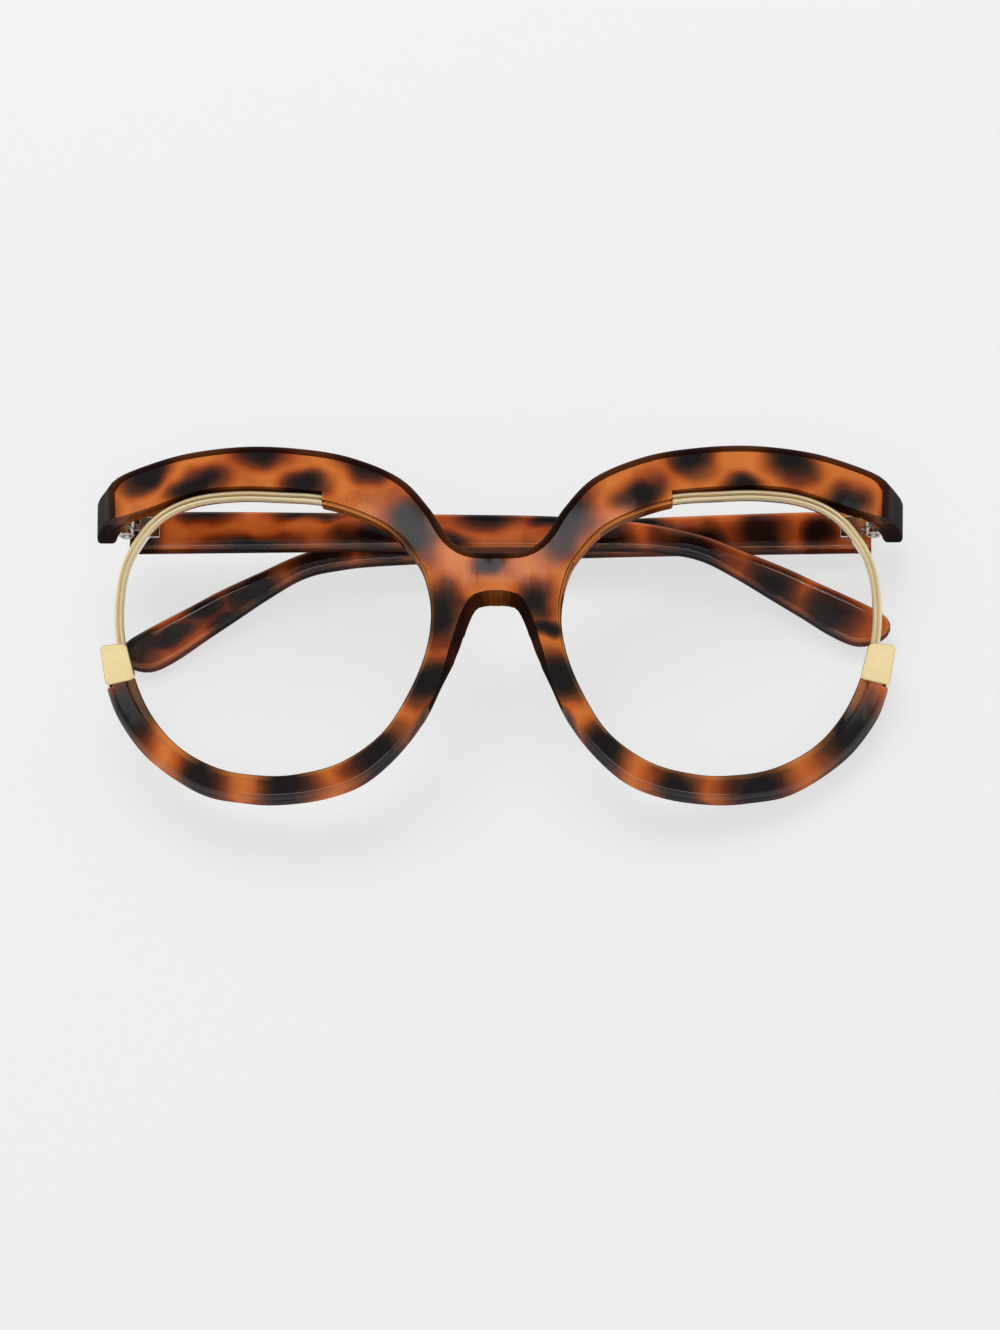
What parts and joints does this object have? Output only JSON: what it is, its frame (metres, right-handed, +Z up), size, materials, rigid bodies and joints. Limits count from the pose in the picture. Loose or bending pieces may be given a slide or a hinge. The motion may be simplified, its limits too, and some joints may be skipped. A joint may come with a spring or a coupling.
{
  "type": "eyeglasses",
  "caption": "Round oversized eyeglasses with a tortoiseshell front and folding temples; gold wires and corner blocks close the outer rims.",
  "frame": {"origin": "on the table under the middle of the folded glasses", "axes": "+X along the front towards the picture's right, +Y towards the brow, +Z up; the front faces up"},
  "size_m": [0.1468, 0.0646, 0.031],
  "materials": {
    "tortoiseshell": "polished translucent amber with dark brown blotches",
    "lens": "clear",
    "gold": "polished pale gold",
    "hinge_metal": "satin"
  },
  "bodies": {
    "right_temple": {"right_temple": "tortoiseshell", "right_temple_hinge_leaf": "hinge_metal"},
    "front": {"front_frame": "tortoiseshell", "left_lens": "lens", "right_lens": "lens", "left_rim_wire": "gold", "right_rim_wire": "gold", "left_corner_block": "gold", "right_corner_block": "gold", "left_corner_block_screw": "hinge_metal", "right_corner_block_screw": "hinge_metal", "left_wire_anchor_screw": "hinge_metal", "right_wire_anchor_screw": "hinge_metal", "left_front_hinge_leaf": "hinge_metal", "right_front_hinge_leaf": "hinge_metal", "left_hinge_screw": "hinge_metal", "right_hinge_screw": "hinge_metal"},
    "left_temple": {"left_temple": "tortoiseshell", "left_temple_hinge_leaf": "hinge_metal"}
  },
  "joints": [
    {"name": "right_hinge", "type": "hinge", "parent": "right_temple", "child": "front", "pos_m": [0.06799, 0.0254, 0.00584], "axis": [0.0021, 0.9865, 0.1636], "range_deg": [0, 90]},
    {"name": "left_hinge", "type": "hinge", "parent": "front", "child": "left_temple", "pos_m": [-0.06801, 0.02448, 0.01315], "axis": [0.0021, 0.9865, 0.1636], "range_deg": [0, 93]}
  ]
}
